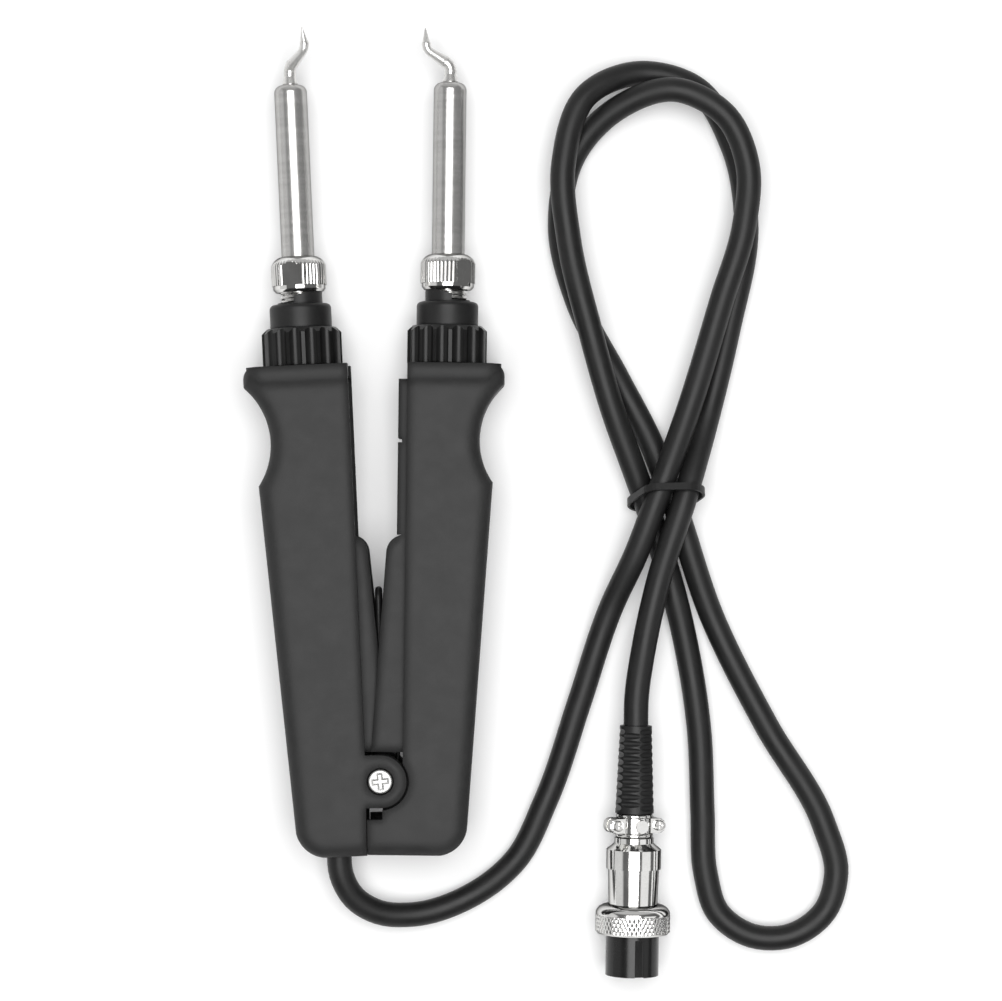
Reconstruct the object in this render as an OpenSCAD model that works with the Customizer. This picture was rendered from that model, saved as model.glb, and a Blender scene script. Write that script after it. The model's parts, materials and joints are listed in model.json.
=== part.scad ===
// Hot tweezers for surface-mount soldering: two hinged arms with heated tips, a cable and a round plug.
// The origin is on the pivot axis, on the resting face. +Y runs to the tips, +X to the right arm, +Z up.

/* [Handle shells] */
// Depth of a shell, from its resting face to its front face
shell_depth = 21; // [20:0.5:24]
// Wall of a shell
wall = 2; // [1.6:0.1:2.2]
// Thickness of a shell's top wall
top_wall = 3; // [2.4:0.2:3.6]
// Length of a shell above the pivot
shell_top = 103.6; // [100:0.2:112]
// Length of a shell below the pivot
shell_tail = 18.4; // [18:0.2:22]
// Distance from the middle to a shell's outer side, beside the pivot
shell_half = 22.25; // [22:0.25:25]
// Outward lean of a shell's outer side, in degrees
shell_taper = 3.54; // [3.2:0.02:4]
// Rounding of a shell's outer long edges
edge_r = 3.5; // [2.6:0.1:3.7]
// Rounding of a shell's tail corner
tail_r = 7.8; // [7.6:0.2:9]
// Half of the angle between the arms at rest, in degrees
arm_open = 1.65; // [1.4:0.05:2.4]
// Distance from the middle to the left shell's open edge
left_mouth = 3.5; // [3.2:0.1:4]
// Distance from the middle to the right shell's open edge
right_mouth = 5.5; // [5.2:0.1:6]

/* [Finger grips] */
// Distance of the finger groove's middle below the shell top
groove_drop = 18.7; // [17:0.1:20]
// Distance from the middle to the bottom of the finger groove
groove_floor = 23.4; // [23:0.1:24.4]
// Radius of the finger groove
groove_r = 18.5; // [17:0.1:26]
// Distance from the middle to the rim of the finger guard
guard_x = 29.5; // [28.6:0.1:31]
// Thickness of the finger guard
guard_t = 3.7; // [3:0.1:4.5]
// Height of the finger guard above the shell's front face
guard_lip = 1.2; // [0.6:0.1:2]
// Rounding of the finger guard's corners, seen along the handle
guard_r = 5; // [4:0.2:6]
// Rounding of the finger guard's front corner, seen from above
guard_round = 3.2; // [2:0.1:4]
// Rounding of the finger guard's corner beside the groove, seen from above
guard_nose = 1.6; // [1:0.1:2]

/* [Covers] */
// Thickness of a cover's web
web_t = 2.2; // [1.8:0.1:2.6]
// How far the left cover lies inside its shell's open edge
left_recess = 2.6; // [2.4:0.1:3.2]
// How far the right cover's strip stands out of its shell's open edge
strip_proud = 2.2; // [1.6:0.1:2.3]
// Thickness of a cheek
cheek_t = 1.5; // [1.2:0.1:1.7]
// Height of a cheek's rounded top above the pivot
cheek_top = 61; // [54:0.5:66]
// Rounding of a cheek's top corner
cheek_r = 4.5; // [3:0.1:5]
// Lean of a cheek's free edge, in degrees
cheek_lean = 3.65; // [3:0.05:4]
// Height of the lower cover screw above the pivot
low_screw_y = 30; // [26:1:36]
// Distance of the upper cover screw below the shell top
top_screw_drop = 13.6; // [12:0.2:18]
// Diameter of a cover screw's thread
screw_d = 2.5; // [2:0.1:3]
// Diameter of a cover screw's head
screw_head_d = 4.4; // [4:0.1:5]
// Length of a cover screw under its head
screw_len = 10; // [7:0.5:12]

/* [Pivot] */
// Radius of the round lugs
lug_r = 6.5; // [6:0.1:6.8]
// Thickness of a lug
lug_t = 3.5; // [3:0.1:4]
// Thickness of a knuckle between the lugs
knuckle_t = 2.3; // [1.8:0.1:2.8]
// Outer diameter of the pivot tube
pivot_d = 5; // [4.6:0.1:5.6]
// Diameter of the pivot screw's thread
pivot_screw_d = 3; // [2.5:0.1:3.4]
// Diameter of the pivot screw's head
pivot_head_d = 6; // [5.4:0.1:6.4]
// Diameter of the threaded insert
insert_d = 4.8; // [4.4:0.1:5.4]
// Distance from the pivot to the line where the tails part
part_x = 3.5; // [3:0.1:4]
// Depth of the notch under the front lug
notch_y = 9.4; // [9:0.1:10]
// Wire of the torsion spring
spring_wire = 1; // [0.8:0.05:1.1]
// Mean diameter of the torsion spring's coil
spring_d = 7.2; // [6.8:0.1:8]
// Turns of the torsion spring
spring_turns = 7; // [5:1:8]
// Length of the torsion spring's legs
spring_leg = 24; // [18:1:28]

/* [Heated end] */
// Distance from the middle to a barrel's axis
barrel_x = 15; // [14.6:0.1:15.6]
// Diameter of the fluted collar
collar_d = 19.9; // [19:0.1:20]
// Length of the fluted collar
collar_l = 9.3; // [8:0.1:11]
// Flutes around the collar
flutes = 16; // [12:1:20]
// Depth of a flute
flute_depth = 1; // [0.6:0.1:1.2]
// Diameter of the nose
nose_d = 15.4; // [15:0.1:16.4]
// Length of the nose in front of the collar
nose_l = 5.8; // [4.5:0.1:8]
// Diameter of the nose's thread under the collar
nose_thread_d = 14; // [13:0.1:14.4]
// Diameter of the nose's neck
neck_d = 11.2; // [11:0.1:12]
// Length of the nose's neck
neck_l = 2.9; // [2:0.1:4]
// Diameter of the threaded bush
bush_d = 9.8; // [9.4:0.1:10]
// Diameter of the knurled nut
nut_d = 13.7; // [13.2:0.1:14.4]
// Length of the knurled nut
nut_l = 8.8; // [7.6:0.1:11]
// Teeth around the nut's knurl
nut_teeth = 40; // [24:2:48]
// Diameter of a barrel
barrel_d = 8.2; // [7.8:0.1:8.6]
// Length of a barrel in front of its nut
barrel_l = 43; // [36:0.5:52]
// Height of a barrel's domed front
dome_h = 1.9; // [1.2:0.1:2.4]
// Wall of a barrel
barrel_wall = 0.8; // [0.6:0.05:0.9]
// Diameter of the ceramic heater
heater_d = 3.8; // [3:0.1:4.2]
// Clearance of the parts that turn
run = 0.08; // [0.05:0.01:0.1]

/* [Tips] */
// Diameter of a tip's stem
tip_d = 3; // [2.6:0.1:3.2]
// Diameter of a tip's stem past its bends
tip_end_d = 2.2; // [1.8:0.1:2.4]
// Sideways offset of a tip's blade
tip_offset = 6.1; // [5.6:0.1:6.2]
// Angle of a tip's slanted stretch, in degrees
tip_slant = 57; // [50:1:62]
// Length of a tip's pointed blade
blade_l = 4.2; // [3:0.1:5]
// Turn of a blade's point about the blade, in degrees
blade_turn = 70; // [0:5:90]
// Turn of the left tip out of line, as it is set at rest, in degrees
left_tip_turn = 46; // [0:1:60]
// Turn of the right tip out of line, as it is set at rest, in degrees
right_tip_turn = 0; // [0:1:60]

/* [Cable and plug] */
// Diameter of the cable
cable_d = 6.2; // [5.8:0.1:6.2]
// Width of the tie round the cable
tie_w = 1.8; // [1.6:0.1:4]
// Diameter of the plug's coupling ring
ring_d = 18.7; // [18:0.1:18.8]
// Length of the plug's coupling ring
ring_l = 7.2; // [6.6:0.1:9]
// Diameter of the plug's insert
plug_insert_d = 13.3; // [12.6:0.1:14]
// Length of the plug's insert in front of the ring
plug_insert_l = 10.3; // [8:0.1:12]
// Diameter of the plug sleeve's narrow part
sleeve_d = 12.2; // [11.8:0.1:12.6]
// Length of the plug sleeve's narrow part
sleeve_l = 9; // [6:0.1:12]
// Diameter of the plug sleeve's wide part
grip_d = 13.7; // [13.2:0.1:15]
// Length of the plug sleeve's wide part
grip_l = 4.8; // [4:0.1:8]
// Length of the plug's cable clamp
clamp_l = 6.2; // [5:0.1:8]
// Turn of the plug's cable clamp about the plug, in degrees
clamp_turn = 20; // [0:1:40]
// Length of the plug's boot
boot_l = 21.8; // [16:0.2:26]
// Slots in one row along the plug's boot
boot_slots = 11; // [7:1:12]

/* [Hidden] */
$fn = 64;

// Colours
black = "#1b1b1d";
soft_black = "#242426";
chrome = "#c9ccd0";
steel = "#b9b4ab";
brass = "#c8a24e";
copper = "#b8734a";
ceramic = "#e9e5da";

// Clearances and reach
fit = 0.05;
slip = 0.2;
gap = 0.3;
far = 200;
ease = 0.05;
mid_z = shell_depth / 2;

// Handle form: middle of the tail's round corner, and the groove
tail_c = [
    shell_half + (tail_r - shell_tail) * tan(shell_taper) - tail_r / cos(shell_taper),
    tail_r - shell_tail
];
groove_y = shell_top - groove_drop;
guard_y = shell_top - guard_t;
guard_fillet = 2.5;
cavity_top = shell_top - top_wall;

// Covers
cover_z = wall + gap;
left_web = left_mouth + left_recess;
right_web = right_mouth;
cover_top = cavity_top - 1;
nose_flange = 2.5;
nose_rear = cavity_top - slip - nose_flange;
left_cheek_z = cover_z + cheek_t + gap;
cheek_bottom = lug_r + 0.7;
seat_t = 0.8;
screw_head_h = 1.3;
top_screw_y = shell_top - top_screw_drop;
boss_r = screw_d / 2 + 1.75;
strip_notch_y = cover_top - 15.2;

// Pivot
lug_set = 0.1;
recess_r = lug_r + 0.6;
rim_r = recess_r + 1.5;
knuckle_z = lug_t + slip;
part_gap = 0.2;
head_h = 1.8;
head_z = shell_depth - head_h - 0.1;
pocket_z = 0.9;
coil_pitch = 0.95 * spring_wire;
coil_z0 = mid_z - coil_pitch * (spring_turns - 1) / 2;
coil_z1 = mid_z + coil_pitch * (spring_turns - 1) / 2;

// Heated end, along the barrel's axis
groove_d = nose_thread_d - 2;
nose_flange_d = nose_thread_d + 1;
collar_y = shell_top + gap;
collar_turn = 5.75;
nose_y = collar_y + collar_l + slip;
neck_y = nose_y + nose_l;
nut_y = neck_y + neck_l + slip / 2;
bush_back = nose_y - 1.5;
bush_front = nut_y + 5.1;
flange_t = 1.1;
nut_inner = bush_front + flange_t + 2 * slip;
nut_front = nut_y + nut_l;
barrel_front = nut_front + barrel_l;
bore_r = barrel_d / 2 - barrel_wall;
core_back = nut_front + 3;
core_front = barrel_front - dome_h - slip;
tip_back = core_front - 11;
heater_front = tip_back - 2;
heater_back = bush_back + 1.5;
base_r = bush_d / 2 - 1.5;
lead_d = 1.2;
lead_spread = base_r + 0.5;

// Crossover lead
cross_d = 1.7;
cross_top = 48;
cross_y = 14;
cross_bow = 2.2;
cross_end = 10;
cross_reach = 13;
cross_relief = 1.35;
cross_room = cross_bow + cross_d / 2 + 2 * gap;

// Plug, measured from its mating end towards the cable
ring_s = plug_insert_l + 0.1;
ring_back = ring_s + ring_l;
ring_web = 1.9;
flange_s = ring_back - ring_web - slip - 1.3;
sleeve_back = ring_back + sleeve_l;
grip_back = sleeve_back + grip_l;
neck_r = 4.9;
neck_s = grip_back + 1.6;
clamp_s = neck_s + 1.3;
boot_s = clamp_s + clamp_l;
boot_end = boot_s + boot_l;
boot_r = 4.85;
boot_tail_r = 3.8;
boot_turn = -46;
boot_end_r = cable_d / 2 + 0.9;
clamp_screw_x = 5.5;
clamp_lug_r = 1.9;
clamp_lug_t = 2.6;
clamp_pin_d = 1.7;
clamp_head_d = 2.7;
contact_r = 1.25;
contact_ring = 3.3;

// The cable's route, from the clamp in the left shell to the plug's boot
tie_slack = 0.9;
tie_band = 0.6;
tie_lean = 20;
lift = cable_d / 2 + tie_slack + tie_band + tie_w / 2 * sin(tie_lean);
route = [
    [-11, -5, 10.5], [-11, -18, 10.5], [-10.5, -24, 10], [-7.5, -30, 8.5], [-1.5, -34, 6.5], [7, -35, 4.5],
    [21, -31, 3.1], [33, -22, 3.1], [41, -7, 3.1], [50, 18, 3.1], [58, 41, 5], [65, 56, 9.6],
    [70, 69, 11], [79, 93, 10], [87, 118, 9.9], [93, 137, 9.9], [94, 152, 9.9], [89, 164, 9.9],
    [76, 171, 9.8], [62, 167, 6.6], [51, 156, 3.1], [47, 138, 3.1], [51, 119, 3.1], [61, 99, 3.1],
    [68.5, 84, 3.4], [74, 69, lift], [84, 38, 3.1], [97, 11, 3.1], [111, -14, 3.1], [114, -26.5, 3.1],
    [111, -36, 3.1], [102.5, -42, 3.1], [92.5, -42, 3.1], [84, -36, 3.1], [81, -26, 3.1], [80.5, -11, 3.1],
    [80, 10, 3.1], [76, 37, 3.1], [67, 69, lift], [63.5, 79, 7], [60, 89, 8.6], [54, 111, 9.9],
    [49, 134, 9.9], [48, 153, 9.9], [54, 170, 8.4], [68, 176, 4.2], [82, 172, 3.1], [91, 157, 3.1],
    [94, 137, 3.1], [89, 111, 3.1], [83, 88, 5], [77, 69, 11], [70, 48, 10.2], [66, 31, 9.6],
    [64, 18, 9.4], [63.8, 12, 9.4]
];
tie_at = [12, 25, 38, 51];
tie_z = (route[tie_at[0]][2] + lift) / 2;
cable_sides = 10;
ring_step = 14;
plug_way = route[len(route) - 2] - route[len(route) - 1];
plug_lean = atan2(plug_way[0], plug_way[1]);

// Curve through the route's points, with tangents weighted by the spans beside them
function unit(v) = v / norm(v);
function span(i) = norm(route[i + 1] - route[i]);
function heading(i) = unit(route[i + 1] - route[i]);
function tangent(i) =
    i == 0 ? heading(0) :
    i == len(route) - 1 ? heading(i - 1) :
    (heading(i - 1) * span(i) + heading(i) * span(i - 1)) / (span(i) + span(i - 1));
function hermite(i, u) =
    (2 * u ^ 3 - 3 * u ^ 2 + 1) * route[i] + (u ^ 3 - 2 * u ^ 2 + u) * span(i) * tangent(i)
    + (3 * u ^ 2 - 2 * u ^ 3) * route[i + 1] + (u ^ 3 - u ^ 2) * span(i) * tangent(i + 1);
function on_floor(p) = [p[0], p[1], max(p[2], cable_d / 2)];
function steps(i) = max(1, round(span(i) / ring_step));
path = [
    for (i = [0:len(route) - 2]) for (k = [0:steps(i) - 1]) on_floor(hermite(i, k / steps(i))),
    route[len(route) - 1]
];
function path_way(j) =
    unit(path[min(j + 1, len(path) - 1)] - path[max(j - 1, 0)]);
function ring_point(j, a) =
    let (way = path_way(j), side = unit(cross([0, 0, 1], way)), up = cross(way, side))
    path[j] + cable_d / 2 * (cos(a) * side + sin(a) * up);

function turned(p, a) = [p[0] * cos(a) - p[1] * sin(a), p[0] * sin(a) + p[1] * cos(a)];

// A flat shape pushed along +X, its own axes becoming Y and Z
module along_x(length) {
    rotate([90, 0, 90]) linear_extrude(length) children();
}

// A flat shape pushed along +Y, its own axes becoming X and Z
module along_y(length) {
    mirror([0, 1, 0]) rotate([90, 0, 0]) linear_extrude(length) children();
}

// Places a right-arm shape at its rest angle
module right_arm() {
    rotate(-arm_open) children();
}

// Places the mirror image of a right-arm shape as the left arm
module left_arm() {
    mirror([1, 0, 0]) rotate(-arm_open) children();
}

// Undoes an arm's rest angle, for shapes that follow the middle line
module upright() {
    rotate(arm_open) children();
}

// Stands a shape on the barrel's axis, its own Z along the barrel
module on_barrel(y) {
    translate([barrel_x, y, mid_z]) rotate([-90, 0, 0]) children();
}

// Both copies of a shape about the shells' middle depth
module both_faces() {
    children();
    translate([0, 0, shell_depth]) mirror([0, 0, 1]) children();
}

module tube(outer, inner, length) {
    difference() {
        cylinder(r = outer, h = length);
        translate([0, 0, -1]) cylinder(r = inner, h = length + 2);
    }
}

module rod(a, b, d) {
    way = b - a;
    turn = [0, acos(way[2] / norm(way)), atan2(way[1], way[0])];
    translate(a) rotate(turn) cylinder(d = d, h = norm(way));
}

// A round rod through points, with slightly larger ball corners
module wire(points, d) {
    for (i = [0:len(points) - 2]) rod(points[i], points[i + 1], d);
    for (i = [1:1:len(points) - 2]) translate(points[i]) sphere(d = 1.06 * d);
}

// Section across an outer side: outer face at zero, both outer corners round, flats longer by over
module side_profile(width, depth, r, over, swell) {
    intersection() {
        translate([-width, -over]) square([width, depth + 2 * over]);
        union() {
            translate([-width - 1, -over - 1]) square([width + 1 - r, depth + 2 * over + 2]);
            translate([-r - 1, r]) square([r + 2, depth - 2 * r]);
            for (z = [r, depth - r]) translate([-r, z]) circle(r + swell);
        }
    }
}

// The handle's solid form up to the shell's top: outer side, tail and round tail corner
module handle_form() {
    difference() {
        intersection() {
            translate(tail_c) rotate(-shell_taper) translate([tail_r, -far / 2]) along_y(2 * far)
                side_profile(far / 4, shell_depth, edge_r, 0, ease);
            translate([-far / 2, -shell_tail, 0]) rotate(-90) along_y(far)
                side_profile(far, shell_depth, edge_r, 1, ease);
            translate([-part_x - 2, -far / 2, -1]) cube([far, far / 2 + shell_top, far]);
        }
        translate(tail_c) rotate(-90) rotate_extrude(angle = 90 - shell_taper) difference() {
            translate([0, -0.5]) square([2 * tail_r, shell_depth + 1]);
            translate([tail_r + ease, 0]) side_profile(tail_r + ease, shell_depth, edge_r, 1, 2 * ease);
        }
    }
}

// The finger guard seen from above: one corner runs on from the groove's arc, the other is round
module guard_plan(start) {
    arc = groove_r + guard_nose;
    nose_x = guard_x - guard_nose;
    reach = groove_floor + groove_r - nose_x;
    nose = [nose_x, groove_y + sqrt(arc ^ 2 - reach ^ 2)];
    middle = [groove_floor + groove_r, groove_y];
    foot = middle - [sqrt(groove_r ^ 2 - (start - groove_y) ^ 2), groove_y - start];
    front_y = shell_top - guard_round;
    polygon([
        [0, start], foot, middle + (nose - middle) * groove_r / arc, nose, [guard_x, nose[1]],
        [guard_x, front_y], [guard_x - guard_round, front_y], [guard_x - guard_round, shell_top + 1],
        [0, shell_top + 1]
    ]);
    translate(nose) circle(guard_nose + ease);
    translate([guard_x - guard_round, front_y]) circle(guard_round);
}

// The finger guard at a shell's top, with its raised front lip
module guard() {
    start = guard_y - 2 * guard_fillet;
    rise = sqrt(guard_fillet ^ 2 - (guard_fillet - guard_lip) ^ 2);
    intersection() {
        translate([guard_x, start, 0]) along_y(shell_top - start)
            side_profile(guard_x, shell_depth + guard_lip, guard_r, 0, ease);
        translate([0, 0, -1]) linear_extrude(far) guard_plan(start);
        along_x(far) difference() {
            translate([start, 0]) square([shell_top - start, shell_depth + guard_lip]);
            translate([start, shell_depth]) square([guard_y - rise - start, far]);
            translate([guard_y - rise, shell_depth + guard_fillet]) circle(guard_fillet);
        }
    }
}

// What the finger groove takes away, with the shell's edge rounding along it
module groove_cut() {
    height = shell_depth + guard_lip + 1;
    round_x = groove_r + edge_r;
    translate([groove_floor + groove_r, groove_y, 0]) rotate_extrude() difference() {
        square([round_x, height]);
        translate([groove_r, edge_r]) square([2 * edge_r, shell_depth - 2 * edge_r]);
        for (z = [edge_r, shell_depth - edge_r]) translate([round_x, z]) circle(edge_r + ease);
    }
}

// The hollow inside a shell, kept a wall away from the groove
module cavity() {
    corner = tail_r - wall;
    side = tail_c + corner * [cos(shell_taper), -sin(shell_taper)];
    inner_x = -part_x - 3;
    translate([0, 0, wall]) linear_extrude(shell_depth - 2 * wall) difference() {
        union() {
            polygon([
                [inner_x, wall - shell_tail], [tail_c[0], wall - shell_tail], tail_c, side,
                [side[0] + (cavity_top - side[1]) * tan(shell_taper), cavity_top], [inner_x, cavity_top]
            ]);
            translate(tail_c) circle(corner);
        }
        translate([groove_floor + groove_r, groove_y]) circle(groove_r + wall);
    }
}

// A screw boss along X, ending inside the outer wall
module boss(start, end_x, r, hole_d, hole_l) {
    translate(start) rotate([0, 90, 0]) difference() {
        cylinder(r = r, h = end_x - start[0]);
        translate([0, 0, -1]) cylinder(d = hole_d, h = hole_l + 1);
    }
}

// A hollow shell limited to the region given by the children, with its cover bosses and nose slot
module shell(web) {
    slot_r = groove_d / 2 + slip / 2;
    difference() {
        intersection() {
            difference() {
                difference() {
                    union() {
                        handle_form();
                        guard();
                    }
                    groove_cut();
                }
                cavity();
            }
            children();
        }
        translate([0, cavity_top - 1, 0]) along_y(far) {
            translate([barrel_x, mid_z]) circle(slot_r);
            translate([0, mid_z - slot_r]) square([barrel_x, 2 * slot_r]);
        }
    }
    low_end = shell_half + low_screw_y * tan(shell_taper);
    boss([web + web_t, low_screw_y, mid_z], low_end - wall / 2, boss_r, screw_d + 2 * fit, screw_len);
    boss([web + web_t, top_screw_y, mid_z], groove_floor - wall / 2, boss_r, screw_d + 2 * fit, screw_len);
}

// The left arm's region: its open edge above the pivot, the parting line below
module left_region() {
    x = part_x + part_gap / 2;
    translate([0, 0, -1]) linear_extrude(far) polygon([
        [left_mouth, far], [left_mouth, lug_r / 2], turned([x, -lug_r / 2], arm_open),
        turned([x, -far], arm_open), [far, -far], [far, far]
    ]);
}

// The right arm's region, stepped round the front lug's notch
module right_region() {
    translate([right_mouth, 0, -1]) cube(far);
    upright() {
        translate([notch_x, -far, -1]) cube([far, far, far]);
        translate([part_gap / 2 - part_x, -far - notch_y, -1]) cube([far, far, far]);
    }
}
notch_x = 0.4;

// Cable clamp places, in the left arm
clamp_y = -11;
clamp_w = 4;
clamp_bar_t = 2;
clamp_screw_d = 2;
clamp_edge = clamp_screw_d / 2 + 1.2;
clamp_pitch = mid_z - wall - 0.7 - clamp_edge;
clamp_back = -route[0][0] - cable_d / 2 - slip;

// A pivot lug with its tongue into the left shell
module lug(z, t) {
    translate([0, 0, z]) linear_extrude(t) {
        circle(lug_r);
        translate([0, -lug_r]) square([left_mouth + wall, 2 * lug_r]);
    }
}

module left_shell() {
    exit_x = -route[1][0];
    color(black) left_arm() difference() {
        union() {
            shell(left_web) left_region();
            upright() {
                lug(0, lug_t);
                lug(shell_depth - lug_t, lug_t - lug_set);
            }
            upright() {
                for (z = [-clamp_pitch, clamp_pitch])
                    boss([clamp_back, clamp_y, mid_z + z], tail_c[0] + tail_r - wall * 0.7,
                        clamp_edge, clamp_screw_d + 2 * fit, 8);
                translate([exit_x + cable_d / 2 + slip, clamp_y - clamp_w / 2, mid_z - cable_d / 2])
                    cube([shell_half - wall - exit_x - cable_d / 2, clamp_w, cable_d]);
            }
        }
        translate([0, 0, pocket_z]) cylinder(d = insert_d + 2 * fit, h = lug_t);
        translate([0, 0, mid_z]) cylinder(d = pivot_screw_d + slip, h = far);
        translate([0, 0, head_z]) cylinder(d = pivot_head_d + 0.75, h = far);
        upright() translate([exit_x, -far, route[1][2]]) rotate([-90, 0, 0])
            cylinder(d = cable_d + 2 * slip, h = far - shell_tail + wall + 1);
    }
}

module right_shell() {
    color(black) right_arm() difference() {
        union() {
            difference() {
                shell(right_web) right_region();
                translate([0, 0, -1]) cylinder(r = recess_r, h = far);
            }
            both_faces() {
                translate([0, 0, knuckle_z]) cylinder(r = lug_r, h = knuckle_t);
                intersection() {
                    union() {
                        translate([0, 0, wall / 2]) tube(rim_r, recess_r, knuckle_z + knuckle_t - wall / 2);
                        translate([0, 0, knuckle_z]) cylinder(r = rim_r, h = knuckle_t);
                    }
                    right_region();
                }
            }
        }
        translate([0, 0, -1]) cylinder(d = pivot_d + 2 * run, h = far);
    }
}

// Outline of a cheek, from the cover's web to its leaning free edge
module cheek_outline(web, bottom) {
    bend_y = cheek_top - cheek_r;
    edge_x = 0.7;
    foot_x = edge_x - (bend_y - bottom) * tan(cheek_lean);
    polygon([
        [foot_x, bottom], [web, bottom], [web, cheek_top], [edge_x + cheek_r, bend_y], [edge_x, bend_y]
    ]);
    translate([edge_x + cheek_r, bend_y]) circle(cheek_r);
}

// Screw holes through a cover, seated a thin floor above its back, and room for the nose's flange
module cover_holes(web) {
    on_barrel(nose_rear - gap) cylinder(d = nose_flange_d + 2 * gap, h = far);
    for (y = [low_screw_y, top_screw_y]) translate([web + web_t, y, mid_z]) rotate([0, -90, 0]) {
        translate([0, 0, -1]) cylinder(d = screw_d + slip, h = far);
        translate([0, 0, seat_t]) cylinder(d = screw_head_d + 2 * slip, h = far);
    }
}

module cover_screws(web) {
    for (y = [low_screw_y, top_screw_y]) translate([web + web_t - seat_t, y, mid_z]) rotate([0, 90, 0])
        screw(screw_d, screw_len, screw_head_d, screw_head_h);
}

// A pan-head screw with its head's seat at zero and its shank along +Z, with a cross recess
module screw(d, length, head_d, head_h) {
    slot = head_d / 8;
    cylinder(d = d, h = length);
    difference() {
        translate([0, 0, -head_h]) union() {
            translate([0, 0, head_h / 3]) cylinder(d = head_d, h = head_h * 2 / 3);
            cylinder(d1 = head_d * 0.8, d2 = head_d, h = head_h / 3);
        }
        for (turn = [0, 90]) rotate(turn)
            translate([-head_d * 0.32, -slot / 2, -head_h - 1]) cube([head_d * 0.64, slot, 1 + head_h * 0.6]);
    }
}

module left_cover() {
    depth = shell_depth - 2 * cover_z;
    color(soft_black) left_arm() difference() {
        union() {
            translate([left_web, cheek_bottom, cover_z]) cube([web_t, cover_top - cheek_bottom, depth]);
            both_faces() translate([0, 0, left_cheek_z]) linear_extrude(cheek_t)
                cheek_outline(left_web + web_t / 2, cheek_bottom);
        }
        cover_holes(left_web);
        upright() rod([0, cross_y, mid_z - cross_bow], [far, cross_y, mid_z - cross_bow], cross_d + slip);
    }
}

module right_cover() {
    depth = shell_depth - 2 * cover_z;
    bar_t = strip_proud + web_t;
    rib = wall;
    color(soft_black) right_arm() difference() {
        union() {
            translate([right_web, cheek_bottom, cover_z]) cube([web_t, cover_top - cheek_bottom, depth]);
            translate([right_mouth - strip_proud, cheek_top, cover_z])
                cube([bar_t, cover_top - cheek_top, depth]);
            both_faces() translate([0, 0, cover_z]) linear_extrude(cheek_t)
                cheek_outline(right_web + web_t / 2, cheek_bottom);
        }
        translate([right_mouth - strip_proud + rib, cheek_top + rib, cover_z + rib])
            cube([bar_t, top_screw_y - boss_r - 1 - cheek_top - rib, depth - 2 * rib]);
        translate([right_mouth - strip_proud - 1, strip_notch_y - 0.5, 0]) cube([2, 1, far]);
        cover_holes(right_web);
        upright() rod([0, cross_y - 0.4, mid_z + cross_bow], [far, cross_y - 0.4, mid_z + cross_bow], 4.6);
        translate([right_web - 1, cross_top - cross_reach, mid_z - cross_room])
            cube([1 + cross_relief, cross_reach + 3, 2 * cross_room]);
    }
}

module left_cover_screws() {
    color(steel) left_arm() cover_screws(left_web);
}

module right_cover_screws() {
    color(steel) right_arm() cover_screws(right_web);
}

// The fluted hand nut that clamps the nose to the shell
module collar(turn) {
    r = collar_d / 2;
    land = 0.8;
    pitch = PI * collar_d / flutes;
    half = (pitch - land) / 2;
    flute_r = (half ^ 2 + flute_depth ^ 2) / (2 * flute_depth);
    crown = 1.3;
    on_barrel(collar_y) difference() {
        union() {
            cylinder(r = r, h = collar_l - crown);
            translate([0, 0, collar_l - crown]) cylinder(r1 = r, r2 = r - crown, h = crown);
        }
        for (i = [0:flutes - 1]) rotate(turn + i * 360 / flutes)
            translate([r - flute_depth + flute_r, 0, -1]) cylinder(r = flute_r, h = collar_l + 2);
        translate([0, 0, -1]) cylinder(d = nose_thread_d + 2 * run, h = collar_l + 2);
    }
}

// The plastic nose: rear flange, groove in the shell's slot, thread, nose and open-sided neck
module nose() {
    shoulder = 1.2;
    on_barrel(0) difference() {
        union() {
            translate([0, 0, nose_rear]) cylinder(d = nose_flange_d, h = nose_flange);
            translate([0, 0, nose_rear]) cylinder(d = groove_d, h = collar_y - nose_rear);
            translate([0, 0, shell_top + slip]) cylinder(d = nose_thread_d, h = nose_y - shell_top - slip);
            translate([0, 0, nose_y]) rotate_extrude() {
                square([nose_d / 2, nose_l - shoulder]);
                square([nose_d / 2 - shoulder, nose_l]);
                translate([nose_d / 2 - shoulder, nose_l - shoulder]) circle(shoulder);
            }
            translate([0, 0, neck_y]) difference() {
                cylinder(d = neck_d, h = neck_l);
                translate([neck_d * 0.1, -neck_d, 0.4]) cube([neck_d, 2 * neck_d, far]);
                translate([0, 0, neck_l * 0.75]) rotate([0, 14, 0])
                    translate([-far / 2, -far / 2, 0]) cube(far);
            }
        }
        translate([0, 0, bush_back]) cylinder(d = bush_d + 2 * fit, h = far);
        cylinder(r = lead_spread + lead_d, h = far);
    }
}

// The metal bush that the knurled nut screws on, with the heater's seat inside
module bush() {
    on_barrel(bush_back) tube(bush_d / 2, base_r + fit, bush_front - bush_back);
}

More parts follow.
